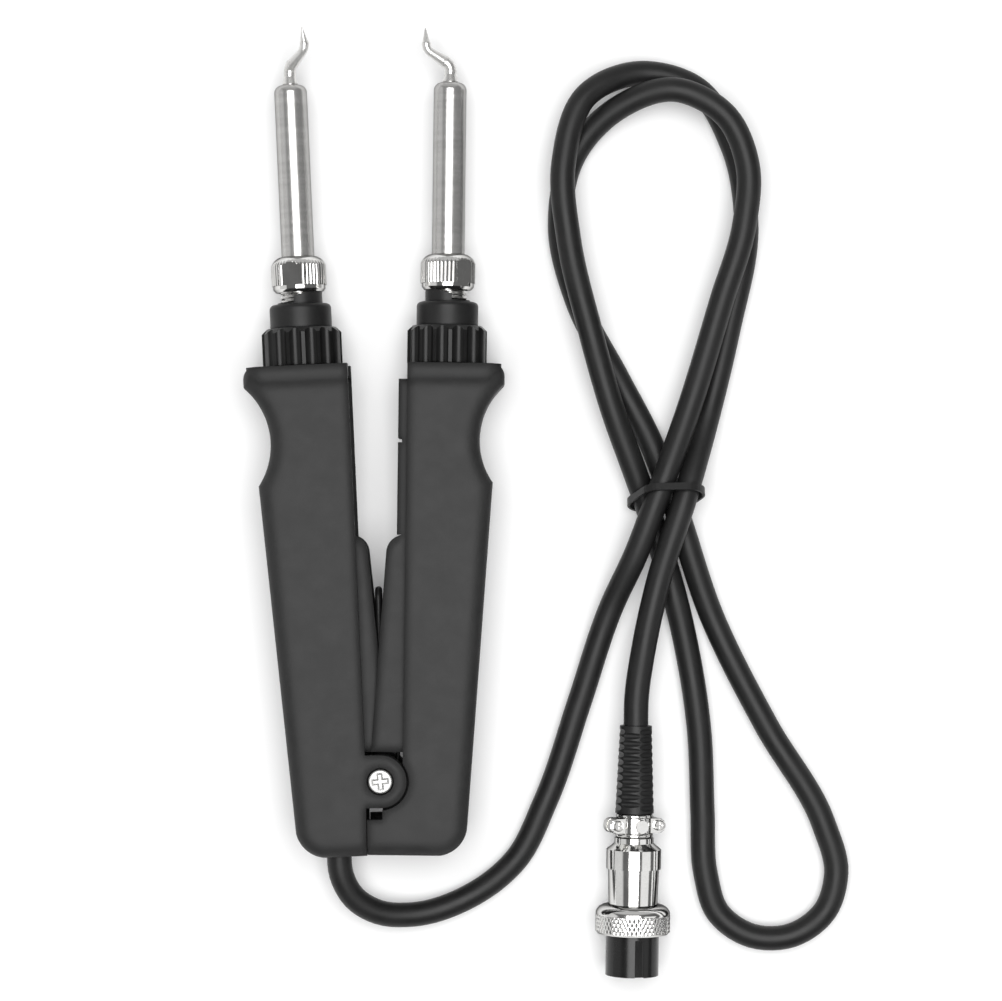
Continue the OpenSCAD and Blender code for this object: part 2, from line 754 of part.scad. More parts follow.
// The knurled nut with a wrench flat on each side, holding the barrel's flange on the bush
module nut(flat_turn) {
    r = nut_d / 2;
    tooth = 0.3;
    flat_depth = 0.45;
    band = 1.6;
    edge = 0.7;
    cone = r - barrel_d / 2 - 0.55;
    on_barrel(nut_y) difference() {
        intersection() {
            linear_extrude(nut_l) polygon([
                for (i = [0:2 * nut_teeth - 1]) let (a = i * 180 / nut_teeth, rr = r - tooth * (i % 2))
                    rr * [cos(a), sin(a)]
            ]);
            rotate_extrude() polygon([
                [0, 0], [r - tooth - edge, 0], [r - tooth - ease, edge], [r - tooth - ease, band],
                [r + slip, band], [r + slip, nut_l - cone - slip], [r - cone, nut_l], [0, nut_l]
            ]);
        }
        for (side = [0, 180]) rotate(flat_turn + side)
            translate([r - flat_depth, -r, -1]) cube([r, 2 * r, nut_l + 2]);
        translate([0, 0, -1]) cylinder(d = bush_d + 2 * run, h = nut_inner - nut_y + 1);
        translate([0, 0, -1]) cylinder(d = barrel_d + 2 * run, h = nut_l + 2);
    }
}

// The barrel: a flanged tube with a domed front, open for the tip
module barrel() {
    r = barrel_d / 2;
    start = bush_front + slip / 2;
    length = barrel_front - start;
    round_r = min(dome_h, r - tip_d / 2 - 0.3);
    on_barrel(start) difference() {
        union() {
            cylinder(d = bush_d, h = flange_t);
            rotate_extrude() {
                square([r, length - round_r]);
                square([r - round_r, length]);
                translate([r - round_r, length - round_r]) circle(round_r);
            }
        }
        translate([0, 0, -1]) cylinder(r = bore_r, h = length - dome_h + 1);
        cylinder(d = tip_d + 2 * run, h = length + 1);
    }
}

// The copper core that carries the heat from the heater to the tip
module core() {
    on_barrel(core_back) difference() {
        cylinder(r = bore_r - fit, h = core_front - core_back);
        translate([0, 0, -1]) cylinder(d = heater_d + 2 * fit, h = heater_front + slip - core_back + 1);
        translate([0, 0, tip_back - slip - core_back]) cylinder(d = tip_d + 2 * run, h = far);
    }
}

module heater() {
    on_barrel(heater_back) {
        cylinder(r = base_r, h = bush_front - slip - heater_back);
        cylinder(d = heater_d, h = heater_front - heater_back);
    }
}

// A bent tip: straight stem with a small cone, slanted stretch, and a blade pointed at one side
module tip(turn, point_turn) {
    bend_r = 2.5;
    r = tip_d / 2;
    end_r = tip_end_d / 2;
    bend_x = bend_r * (1 - cos(tip_slant));
    slant_l = (tip_offset - 2 * bend_x) / sin(tip_slant);
    stem_l = barrel_front + 3 - tip_back;
    point_r = 0.12;
    lean = atan((end_r - point_r) / blade_l);
    cone_h = 1.8;
    ball = 0.04;
    on_barrel(tip_back) rotate(turn) {
        cylinder(r = r, h = stem_l);
        translate([0, 0, barrel_front + gap - tip_back]) cylinder(r1 = r + 0.4, r2 = r, h = cone_h);
        translate([-bend_r, 0, stem_l]) rotate([90, 0, 0])
            rotate_extrude(angle = tip_slant) translate([bend_r, 0]) circle(r);
        translate([0, 0, stem_l]) sphere(r + ball);
        translate([-bend_x, 0, stem_l + bend_r * sin(tip_slant)]) rotate([0, -tip_slant, 0]) {
            sphere(r + ball);
            cylinder(r1 = r, r2 = end_r, h = slant_l);
            translate([0, 0, slant_l]) sphere(end_r + ball);
            translate([bend_r, 0, slant_l]) rotate([90, 0, 0]) rotate(180 - tip_slant)
                rotate_extrude(angle = tip_slant) translate([bend_r, 0]) circle(end_r);
            translate([bend_r, 0, slant_l]) rotate([0, tip_slant, 0]) translate([-bend_r, 0, 0])
                rotate(point_turn) {
                    sphere(end_r + ball);
                    rotate([0, -lean, 0]) cylinder(r1 = end_r, r2 = point_r, h = blade_l);
                }
        }
    }
}

// The two leads behind a heater, down to the given end in the arm
module leads(end) {
    for (side = [-1, 1]) wire([
        [barrel_x, heater_back - slip / 2, mid_z + side * (base_r - lead_d)],
        [barrel_x, cavity_top - 4, mid_z + side * lead_spread],
        [barrel_x, low_screw_y - 6, mid_z + side * lead_spread],
        end + [0, 0, side * lead_d]
    ], lead_d);
}

module left_collar() {
    color(black) left_arm() collar(collar_turn);
}

module left_nose() {
    color(black) left_arm() nose();
}

module left_bush() {
    color(steel) left_arm() bush();
}

module left_nut() {
    color(chrome) left_arm() nut(-75);
}

module left_barrel() {
    color(steel) left_arm() barrel();
}

module left_core() {
    color(copper) left_arm() core();
}

module left_heater() {
    color(ceramic) left_arm() heater();
}

module left_tip() {
    color(steel) left_arm() tip(left_tip_turn, blade_turn);
}

module left_leads() {
    color("firebrick") left_arm() leads([-route[0][0] + 0.3, route[0][1] + 0.6, mid_z]);
}

module right_collar() {
    color(black) right_arm() collar(-collar_turn);
}

module right_nose() {
    color(black) right_arm() nose();
}

module right_bush() {
    color(steel) right_arm() bush();
}

module right_nut() {
    color(chrome) right_arm() nut(-50);
}

module right_barrel() {
    color(steel) right_arm() barrel();
}

module right_core() {
    color(copper) right_arm() core();
}

module right_heater() {
    color(ceramic) right_arm() heater();
}

module right_tip() {
    color(steel) right_arm() tip(right_tip_turn, -blade_turn);
}

module right_leads() {
    color("firebrick") right_arm() leads([barrel_x - 1.5, cross_y + 4, mid_z]);
}

module pivot_screw() {
    length = head_z - pocket_z - slip;
    color(chrome) translate([0, 0, head_z]) mirror([0, 0, 1])
        screw(pivot_screw_d, length, pivot_head_d, head_h);
}

module pivot_tube() {
    color(steel) translate([0, 0, lug_t])
        tube(pivot_d / 2, pivot_screw_d / 2 + fit, shell_depth - 2 * lug_t);
}

module pivot_insert() {
    color(brass) translate([0, 0, pocket_z]) tube(insert_d / 2, pivot_screw_d / 2 + fit, lug_t - pocket_z);
}

// A close-wound spring with one leg along each arm
module torsion_spring() {
    r = spring_d / 2;
    color(steel) {
        rotate_extrude() translate([r, coil_z0])
            for (i = [0:spring_turns - 1]) translate([0, i * coil_pitch]) circle(d = spring_wire);
        left_arm() rod([r, 0, coil_z1], [left_web - 0.55 * spring_wire, spring_leg, coil_z1], spring_wire);
        right_arm() rod([r, 0, coil_z0], [right_web - 0.55 * spring_wire, spring_leg, coil_z0], spring_wire);
    }
}

// The sleeved lead that crosses from the left arm to the right, arching up between the cheeks
module crossover_lead() {
    bow_y = cross_top - cross_bow - cross_d / 2;
    color(black) {
        translate([0, bow_y, mid_z]) rotate([0, 90, 0]) rotate_extrude(angle = 180)
            translate([cross_bow, 0]) circle(d = cross_d);
        for (side = [-1, 1]) wire([
            [0, bow_y, mid_z + side * cross_bow],
            [0, cross_y, mid_z + side * cross_bow],
            [side * cross_end, cross_y, mid_z + side * cross_bow]
        ], cross_d);
    }
}

// The bar that grips the cable's end against the left shell
module cable_clamp() {
    width = 2 * (clamp_pitch + clamp_edge);
    color(black) mirror([1, 0, 0]) difference() {
        translate([clamp_back - clamp_bar_t, clamp_y - clamp_w / 2, mid_z - width / 2])
            cube([clamp_bar_t, clamp_w, width]);
        for (side = [-1, 1])
            rod([0, clamp_y, mid_z + side * clamp_pitch], [far, clamp_y, mid_z + side * clamp_pitch],
                clamp_screw_d + slip);
    }
}

module cable_clamp_screws() {
    color(steel) mirror([1, 0, 0]) for (side = [-1, 1])
        translate([clamp_back - clamp_bar_t, clamp_y, mid_z + side * clamp_pitch]) rotate([0, 90, 0])
            screw(clamp_screw_d, 8, 3.4, 1.1);
}

module cable() {
    last = len(path) - 1;
    n = cable_sides;
    color(soft_black) polyhedron(
        [for (j = [0:last]) for (k = [0:n - 1]) ring_point(j, k * 360 / n)],
        concat(
            [[for (k = [0:n - 1]) k]],
            [for (j = [0:last - 1]) for (k = [0:n - 1])
                [j * n + k, (j + 1) * n + k, (j + 1) * n + (k + 1) % n, j * n + (k + 1) % n]],
            [[for (k = [n - 1:-1:0]) last * n + k]]
        )
    );
}

// A flat tie round the four strands of the bundle, leaning along them
module cable_tie() {
    inner = cable_d / 2 + tie_slack;
    color(black) translate([0, route[tie_at[0]][1], tie_z]) rotate([-tie_lean, 0, 0])
        translate([0, -tie_w / 2, 0]) along_y(tie_w) difference() {
            bundle(inner + tie_band);
            bundle(inner);
        }
}

// Where a strand passes the leaning tie
function passing(i) =
    let(way = route[i + 1] - route[i - 1], rise = route[i][2] - tie_z)
    [route[i][0] + way[0] / way[1] * rise * tan(tie_lean), rise];

module bundle(r) {
    scale([1, 1 / cos(tie_lean)]) hull() for (i = tie_at) translate(passing(i)) circle(r, $fn = 32);
}

// Stands a shape on the plug's axis, its own Z from the mating end to the cable
module on_plug(s) {
    translate(route[len(route) - 1]) rotate([-90, 0, -plug_lean]) translate([0, 0, s - boot_end]) children();
}

// The ribbed boot, with a tail under the clamp
module plug_boot() {
    rows = 6;
    pitch = boot_l / (boot_slots + 0.5);
    slot_r = 0.39 * pitch;
    slot_depth = 0.86 * slot_r;
    color(black) on_plug(0) {
        translate([0, 0, clamp_s + slip]) cylinder(r = boot_tail_r, h = clamp_l);
        translate([0, 0, boot_s]) difference() {
            cylinder(r1 = boot_r, r2 = boot_end_r, h = boot_l);
            for (row = [0:rows - 1], i = [0:boot_slots - 1 - row % 2])
                let (z = (i + 0.75 + row % 2 / 2) * pitch, r = boot_r - z / boot_l * (boot_r - boot_end_r))
                    rotate(boot_turn + row * 360 / rows) translate([r - slot_depth + slot_r, 0, z])
                        rotate([90, 0, 0]) cylinder(r = slot_r, h = 2 * boot_r, center = true);
        }
    }
}

// Two saddle halves round the boot's tail
module plug_clamp() {
    split = 0.5;
    color(chrome) on_plug(clamp_s + slip / 2) rotate(clamp_turn) for (side = [0, 180]) rotate(side)
        difference() {
            union() {
                cylinder(r = boot_tail_r + 1.6, h = clamp_l - slip);
                translate([-clamp_screw_x, 0, clamp_l / 2 - clamp_lug_r])
                    cube([2 * clamp_screw_x, clamp_lug_t, 2 * clamp_lug_r]);
                for (x = [-clamp_screw_x, clamp_screw_x]) translate([x, 0, clamp_l / 2])
                    rotate([-90, 0, 0]) cylinder(r = clamp_lug_r, h = clamp_lug_t);
            }
            translate([-far / 2, split / 2 - far, -1]) cube(far);
            translate([0, 0, -1]) cylinder(r = boot_tail_r + fit, h = clamp_l + 2);
            for (x = [-clamp_screw_x, clamp_screw_x]) translate([x, 0, clamp_l / 2]) rotate([-90, 0, 0]) {
                cylinder(d = clamp_pin_d + 2 * fit, h = far, center = true);
                translate([0, 0, clamp_lug_t]) cylinder(d = clamp_head_d + 2 * slip, h = far);
            }
        }
}

module plug_clamp_screws() {
    color(steel) on_plug(clamp_s + slip / 2) rotate(clamp_turn) for (x = [-clamp_screw_x, clamp_screw_x])
        translate([x, -clamp_lug_t, clamp_l / 2]) rotate([-90, 0, 0])
            screw(clamp_pin_d, 2 * clamp_lug_t, clamp_head_d, 0.9);
}

// The plug's turned metal sleeve, with the flange that holds the coupling ring
module plug_sleeve() {
    bore = 5.55;
    neck_bore = boot_tail_r - 0.4;
    flange_r = sleeve_d / 2 + 1.4;
    flare = 0.3;
    color(chrome) on_plug(0) rotate_extrude() polygon([
        [bore, flange_s], [flange_r, flange_s], [flange_r, flange_s + 1.3], [sleeve_d / 2, flange_s + 1.3],
        [sleeve_d / 2, ring_back], [sleeve_d / 2 + flare, sleeve_back], [grip_d / 2, sleeve_back],
        [grip_d / 2, grip_back], [neck_r, neck_s], [neck_r, clamp_s], [neck_bore, clamp_s],
        [neck_bore, grip_back - 2], [bore, grip_back - 2]
    ]);
}

// The knurled coupling ring that turns on the sleeve
module plug_ring() {
    r = ring_d / 2;
    bore_r = sleeve_d / 2 + run;
    crown = 2.4;
    crown_w = r - bore_r - 0.4;
    thread_r = sleeve_d / 2 + 1.7;
    color(chrome) on_plug(ring_s) rotate_extrude() polygon([
        [thread_r, 0], [r - 0.5, 0], [r, 0.5], [r, ring_l - crown],
        for (a = [30, 60, 90]) [r - crown_w * (1 - cos(a)), ring_l - crown * (1 - sin(a))],
        [bore_r, ring_l], [bore_r, ring_l - ring_web], [thread_r, ring_l - ring_web]
    ]);
}

// The moulded contact carrier, with a keyway along its side
module plug_insert() {
    rear_r = 5.5;
    key_w = 2.4;
    color(soft_black) on_plug(0) difference() {
        union() {
            cylinder(d = plug_insert_d, h = plug_insert_l);
            cylinder(d = plug_insert_d - 2 * slip, h = flange_s - slip / 2);
            cylinder(r = rear_r, h = flange_s + 8);
        }
        rotate(-76) translate([plug_insert_d / 2 - 1.1, -key_w / 2, -1]) cube([far, key_w, plug_insert_l]);
        for (i = [0:4]) rotate(i * 72) translate([contact_ring, 0, -1])
            cylinder(r = contact_r + fit, h = far);
    }
}

module plug_contacts() {
    color(brass) on_plug(0.6) for (i = [0:4]) rotate(i * 72) translate([contact_ring, 0, 0]) difference() {
        cylinder(r = contact_r, h = flange_s + 11);
        translate([0, 0, -1]) cylinder(r = 0.75, h = 8);
    }
}

left_shell();
left_cover();
left_cover_screws();
left_collar();
left_nose();
left_bush();
left_nut();
left_barrel();
left_core();
left_heater();
left_tip();
left_leads();
right_shell();
right_cover();
right_cover_screws();
right_collar();
right_nose();
right_bush();
right_nut();
right_barrel();
right_core();
right_heater();
right_tip();
right_leads();
pivot_screw();
pivot_tube();
pivot_insert();
torsion_spring();
crossover_lead();
cable_clamp();
cable_clamp_screws();
cable();
cable_tie();
plug_boot();
plug_clamp();
plug_clamp_screws();
plug_sleeve();
plug_ring();
plug_insert();
plug_contacts();
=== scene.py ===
"""Soldering tweezers seen from above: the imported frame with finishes, a cord and turned pieces."""
import json
import math

import bpy
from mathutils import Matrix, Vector


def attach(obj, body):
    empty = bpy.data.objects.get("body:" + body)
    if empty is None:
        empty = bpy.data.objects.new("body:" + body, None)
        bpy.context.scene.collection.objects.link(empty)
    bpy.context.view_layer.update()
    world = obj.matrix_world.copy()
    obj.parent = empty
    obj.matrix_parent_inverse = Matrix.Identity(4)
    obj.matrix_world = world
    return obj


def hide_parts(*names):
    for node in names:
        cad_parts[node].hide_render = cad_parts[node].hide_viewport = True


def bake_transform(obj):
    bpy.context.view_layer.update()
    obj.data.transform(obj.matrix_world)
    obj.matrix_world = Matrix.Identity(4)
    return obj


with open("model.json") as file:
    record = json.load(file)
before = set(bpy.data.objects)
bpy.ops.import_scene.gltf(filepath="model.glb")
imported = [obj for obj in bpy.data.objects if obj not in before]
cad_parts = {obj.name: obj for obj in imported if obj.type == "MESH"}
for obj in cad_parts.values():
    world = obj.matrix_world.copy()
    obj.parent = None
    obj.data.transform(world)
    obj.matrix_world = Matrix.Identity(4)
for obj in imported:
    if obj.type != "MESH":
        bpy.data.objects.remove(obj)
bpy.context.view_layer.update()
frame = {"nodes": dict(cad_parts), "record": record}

MM = 0.001
scene = bpy.context.scene
scene.view_settings.view_transform = "Standard"


# Camera: straight above the table, as in the photograph
lens = bpy.data.cameras.new("photo_camera")
lens.sensor_fit = "HORIZONTAL"
lens.sensor_width = 36.0
lens.lens = 112.1
camera = bpy.data.objects.new("photo_camera", lens)
camera.location = (0.03096, 0.06890, 0.7905)
camera.rotation_euler = (0.0, 0.0, math.radians(-0.95))
scene.collection.objects.link(camera)
scene.camera = camera


# Cord: the route's points in millimetres, as in the part's source
CABLE_R = 3.1
LIFT = 4.908
ROUTE = [Vector(p) for p in (
    (-11, -5, 10.5), (-11, -18, 10.5), (-10.5, -24, 10), (-7.5, -30, 8.5), (-1.5, -34, 6.5),
    (7, -35, 4.5), (21, -31, 3.1), (33, -22, 3.1), (41, -7, 3.1), (50, 18, 3.1), (58, 41, 5),
    (65, 56, 9.6), (70, 69, 11), (79, 93, 10), (87, 118, 9.9), (93, 137, 9.9), (94, 152, 9.9),
    (89, 164, 9.9), (76, 171, 9.8), (62, 167, 6.6), (51, 156, 3.1), (47, 138, 3.1),
    (51, 119, 3.1), (61, 99, 3.1), (68.5, 84, 3.4), (74, 69, LIFT), (84, 38, 3.1), (97, 11, 3.1),
    (111, -14, 3.1), (114, -26.5, 3.1), (111, -36, 3.1), (102.5, -42, 3.1), (92.5, -42, 3.1),
    (84, -36, 3.1), (81, -26, 3.1), (80.5, -11, 3.1), (80, 10, 3.1), (76, 37, 3.1),
    (67, 69, LIFT), (63.5, 79, 7), (60, 89, 8.6), (54, 111, 9.9), (49, 134, 9.9), (48, 153, 9.9),
    (54, 170, 8.4), (68, 176, 4.2), (82, 172, 3.1), (91, 157, 3.1), (94, 137, 3.1),
    (89, 111, 3.1), (83, 88, 5), (77, 69, 11), (70, 48, 10.2), (66, 31, 9.6), (64, 18, 9.4),
    (63.8, 12, 9.4))]
EXIT = Vector((-11, -17.2, 10.5))


def smooth_route(points, step=1.6):
    """The part's own curve: Hermite spans, with tangents weighted by the spans beside them."""
    spans = [(b - a).length for a, b in zip(points, points[1:])]
    heads = [(b - a).normalized() for a, b in zip(points, points[1:])]
    tangents = [heads[0]]
    for i in range(1, len(points) - 1):
        before, after = spans[i - 1], spans[i]
        tangents.append((heads[i - 1] * after + heads[i] * before) / (after + before))
    tangents.append(heads[-1])
    path = []
    for i, span in enumerate(spans):
        count = max(2, round(span / step))
        for k in range(count):
            u = k / count
            p = ((2 * u**3 - 3 * u**2 + 1) * points[i] + (u**3 - 2 * u**2 + u) * span * tangents[i]
                 + (3 * u**2 - 2 * u**3) * points[i + 1] + (u**3 - u**2) * span * tangents[i + 1])
            path.append(Vector((p.x, p.y, max(p.z, CABLE_R))))
    path.append(points[-1])
    return path


def curve_piece(name, path, radius):
    """A round curve through points given in millimetres."""
    data = bpy.data.curves.new(name, "CURVE")
    data.dimensions = "3D"
    data.bevel_depth = 1.0
    data.bevel_resolution = 7
    data.use_fill_caps = True
    spline = data.splines.new("POLY")
    spline.points.add(len(path) - 1)
    for point, p in zip(spline.points, path):
        point.co = (p.x * MM, p.y * MM, p.z * MM, 1.0)
        point.radius = radius * MM
    spline.use_smooth = True
    obj = bpy.data.objects.new(name, data)
    scene.collection.objects.link(obj)
    return obj


NEAR_HANDLE = 40  # points of the smooth route, which reach past the exit
EXIT_MARGIN = 0.4  # no point lies closer to the exit than this
whole = smooth_route(ROUTE)
inside = [p for p in whole[:NEAR_HANDLE] if p.y > EXIT.y + EXIT_MARGIN]
start = len(inside)
while whole[start].y > EXIT.y - EXIT_MARGIN:
    start += 1
cable_path = [EXIT] + whole[start:]
cable = curve_piece("cord", cable_path, CABLE_R)
cable_root = curve_piece("cord_root", inside + [EXIT], CABLE_R)


# Turned pieces: threaded bushes, knurled nuts and ring, clamp saddles and a screw head.
# Lengths are in millimetres, and a station is a place along a piece's axis.
TINY = 1e-6  # keeps a division off zero


def turned_piece(name, origin, along, rows, sides, capped=False, sharp=30):
    """A closed mesh of rings about an axis. A row gives the radius and station at an angle."""
    along = Vector(along).normalized()
    up = Vector((0, 1, 0)) if abs(along.z) > 0.9 else Vector((0, 0, 1))
    right = along.cross(up)
    verts, faces, rings = [], [], []
    for index, row in enumerate(rows):
        pole = capped and index in (0, len(rows) - 1)
        ring = []
        for k in range(1 if pole else sides):
            angle = 2 * math.pi * k / sides
            radius, station = row(angle)
            ring.append(len(verts))
            outward = math.cos(angle) * right + math.sin(angle) * up
            verts.append((origin + along * station + radius * outward) * MM)
        rings.append(ring)
    pairs = list(zip(rings, rings[1:]))
    if not capped:
        pairs.append((rings[-1], rings[0]))
    for a, b in pairs:
        for k in range(sides):
            n = (k + 1) % sides
            corners = [a[k % len(a)], b[k % len(b)], b[n % len(b)], a[n % len(a)]]
            faces.append(tuple(dict.fromkeys(corners)))
    data = bpy.data.meshes.new(name)
    data.from_pydata(verts, [], faces)
    data.shade_smooth()
    data.set_sharp_from_angle(angle=math.radians(sharp))
    obj = bpy.data.objects.new(name, data)
    scene.collection.objects.link(obj)
    return obj


def plain(radius, station):
    return lambda angle: (radius, station)


def steps(first, last, size):
    count = max(1, math.ceil((last - first) / size))
    return [first + (last - first) * i / count for i in range(count + 1)]


BARREL_X, MID_Z, ARM_OPEN = 15.0, 10.5, math.radians(1.65)


def barrel_axis(side):
    """Origin and direction of one arm's barrel; side is -1 on the left and 1 on the right."""
    across = Vector((math.cos(ARM_OPEN), -side * math.sin(ARM_OPEN), 0))
    along = Vector((side * math.sin(ARM_OPEN), math.cos(ARM_OPEN), 0))
    return across * (side * BARREL_X) + Vector((0, 0, MID_Z)), along


BUSH = {"radius": 4.9, "bore": 3.45, "back": 111.9, "front": 127.3, "pitch": 0.9, "depth": 0.4,
        "flank": 1.3, "crest": 0.15, "rows_per_pitch": 8, "sides": 72}


def threaded_bush(name, side):
    """The bush of one arm with a right-hand thread cut along it."""
    def row(station):
        def at(angle):
            turn = (station / BUSH["pitch"] + angle / (2 * math.pi)) % 1.0
            cut = min(1.0, max(0.0, BUSH["flank"] * abs(2 * turn - 1) - BUSH["crest"]))
            return BUSH["radius"] - BUSH["depth"] * cut, station
        return at

    step = BUSH["pitch"] / BUSH["rows_per_pitch"]
    rows = [row(s) for s in steps(BUSH["back"], BUSH["front"], step)]
    rows += [plain(BUSH["bore"], BUSH["front"]), plain(BUSH["bore"], BUSH["back"])]
    return turned_piece(name, *barrel_axis(side), rows, BUSH["sides"])


NUT = {"back": 122.2, "length": 8.8, "radius": 6.85, "tooth": 0.24, "teeth": 40, "tooth_sides": 8,
       "flat": 6.4, "heel": 5.85, "edge": 0.7, "band_r": 6.5, "band": 1.6, "knurl_gap": 0.05,
       "knurl_step": 1.0, "shoulder": 6.6, "front_r": 4.65, "bush_bore": 4.98, "seat": 6.6,
       "bore": 4.18, "cone_rows": 8, "cone_straight": 0.45, "cone_round": 0.55, "tooth_fade": 3}
NUT_FLAT = {-1: math.radians(105), 1: math.radians(50)}


def knurled_nut(name, side):
    """One arm's nut: a knurl, two wrench flats, a band behind and a rounded cone in front."""
    def cut(radius, angle):
        off = abs((angle - NUT_FLAT[side] + math.pi / 2) % math.pi - math.pi / 2)
        return min(radius, NUT["flat"] / math.cos(off))

    def row(station, radius, knurl):
        def at(angle):
            off_crest = 2 * (NUT["teeth"] * angle / (2 * math.pi) % 1.0) - 1
            return cut(radius - knurl * NUT["tooth"] * off_crest**2, angle), NUT["back"] + station
        return at

    rows = [row(0, NUT["heel"], 0), row(NUT["edge"], NUT["band_r"], 0),
            row(NUT["band"], NUT["band_r"], 0)]
    rows += [row(s, NUT["radius"], 1)
             for s in steps(NUT["band"] + NUT["knurl_gap"], NUT["shoulder"], NUT["knurl_step"])]
    for i in range(1, NUT["cone_rows"] + 1):
        turn = math.radians(90 * i / NUT["cone_rows"])
        straight = NUT["cone_straight"] * i / NUT["cone_rows"]
        share = straight + NUT["cone_round"] * math.sin(turn)
        rise = straight + NUT["cone_round"] * (1 - math.cos(turn))
        rows.append(row(NUT["shoulder"] + share * (NUT["length"] - NUT["shoulder"]),
                        NUT["radius"] - rise * (NUT["radius"] - NUT["front_r"]),
                        max(0.0, 1 - NUT["tooth_fade"] * rise)))
    front, seat = NUT["back"] + NUT["length"], NUT["back"] + NUT["seat"]
    rows += [plain(NUT["bore"], front), plain(NUT["bore"], seat),
             plain(NUT["bush_bore"], seat), plain(NUT["bush_bore"], NUT["back"])]
    sides = NUT["tooth_sides"] * NUT["teeth"]
    return turned_piece(name, *barrel_axis(side), rows, sides, sharp=14)


PLUG_FRONT = Vector((61.7245, -50.2654, 9.4))
PLUG_ALONG = Vector((0.033315, 0.999445, 0.0))
RING = {"start": 10.4, "length": 7.2, "radius": 9.35, "edge": 0.5, "crown": 2.4, "rim": 6.58,
        "bore": 6.18, "thread": 7.8, "web": 1.9, "crown_rows": 12}
KNURL = {"cells": 52, "cell_sides": 8, "height": 2.0, "depth": 0.2, "back": 4.7, "crest": 1.2,
         "step": 0.12, "sink": 0.1, "rim": 0.05}


def knurled_ring(name):
    """The plug's coupling ring: a diamond knurl in front and a smooth crown behind it."""
    def tooth(t):
        return 1 - abs(2 * (t % 1.0) - 1)

    def row(station):
        def at(angle):
            around, along = KNURL["cells"] * angle / (2 * math.pi), station / KNURL["height"]
            rise = min(1.0, KNURL["crest"] * max(tooth(around + along), tooth(around - along)))
            return RING["radius"] - KNURL["depth"] * (1 - rise), station
        return at

    radius, length, crown = RING["radius"], RING["length"], RING["crown"]
    rows = [plain(RING["thread"], 0), plain(radius - RING["edge"], 0),
            plain(radius - KNURL["sink"], RING["edge"] - KNURL["rim"])]
    rows += [row(s) for s in steps(RING["edge"], KNURL["back"], KNURL["step"])]
    rows += [plain(radius - KNURL["sink"], KNURL["back"] + KNURL["rim"])]
    for i in range(1, RING["crown_rows"] + 1):
        turn = math.radians(90 * i / RING["crown_rows"])
        rows.append(plain(radius - (radius - RING["rim"]) * (1 - math.cos(turn)),
                          length - crown * (1 - math.sin(turn))))
    rows += [plain(RING["bore"], length), plain(RING["bore"], length - RING["web"]),
             plain(RING["thread"], length - RING["web"])]
    return turned_piece(name, PLUG_FRONT + PLUG_ALONG * RING["start"], PLUG_ALONG, rows,
                        KNURL["cell_sides"] * KNURL["cells"])


CLAMP = {"start": 34.4, "length": 6.0, "bore": 3.85, "waist": 4.25, "groove": 0.1, "lip_low": 4.7,
         "lip_high": 4.6, "lip": 1.15, "lip_drop": 0.45, "screw_x": 5.5, "ear_r": 1.9,
         "ear_half": 2.6, "pad_r": 1.7, "pad_top": 5.5, "crown": 0.5, "split": 0.25, "seat": 5.0,
         "turn": math.radians(20), "step": 0.1, "sides": 288}


def clamp_saddles(name):
    """The plug's clamp saddles: rounded lips, an ear at each side and a pad on each crown."""
    middle = CLAMP["length"] / 2

    def row(station):
        reach = abs(station - middle)
        base = CLAMP["waist"]
        for edge, radius in ((0.0, CLAMP["lip_low"]), (CLAMP["length"], CLAMP["lip_high"])):
            off = abs(abs(station - edge) - CLAMP["lip"] / 2) / (CLAMP["lip"] / 2)
            if off <= 1.0:
                base = max(CLAMP["waist"] - CLAMP["groove"], radius - CLAMP["lip_drop"] * off**3)

        def at(angle):
            c, s = abs(math.cos(angle + CLAMP["turn"])), abs(math.sin(angle + CLAMP["turn"]))
            radius = base
            if reach < CLAMP["ear_r"]:
                end = CLAMP["screw_x"] + math.sqrt(CLAMP["ear_r"]**2 - reach**2)
                ear = min(end / max(c, TINY), CLAMP["ear_half"] / max(s, TINY))
                if ear * s < CLAMP["split"]:
                    ear = CLAMP["seat"]
                radius = max(radius, ear)
            if reach < CLAMP["pad_r"] and s > CLAMP["crown"]:
                pad = CLAMP["pad_top"] / s
                if (pad * c)**2 + reach**2 <= CLAMP["pad_r"]**2:
                    radius = max(radius, pad)
            return radius, station
        return at

    rows = [row(s) for s in steps(0.0, CLAMP["length"], CLAMP["step"])]
    rows += [plain(CLAMP["bore"], CLAMP["length"]), plain(CLAMP["bore"], 0.0)]
    return turned_piece(name, PLUG_FRONT + PLUG_ALONG * CLAMP["start"], PLUG_ALONG, rows,
                        CLAMP["sides"])


HEAD = {"top": 20.9, "height": 1.8, "radius": 3.0, "shank": 1.5, "tail": 1.1, "dome": 0.2,
        "edge": 0.35, "step": 0.08, "edge_rows": 4, "sides": 144}
CROSS = {"reach": 2.2, "half": 0.75, "floor_reach": 1.7, "floor_half": 0.33, "depth": 0.25,
         "turn": math.radians(5)}


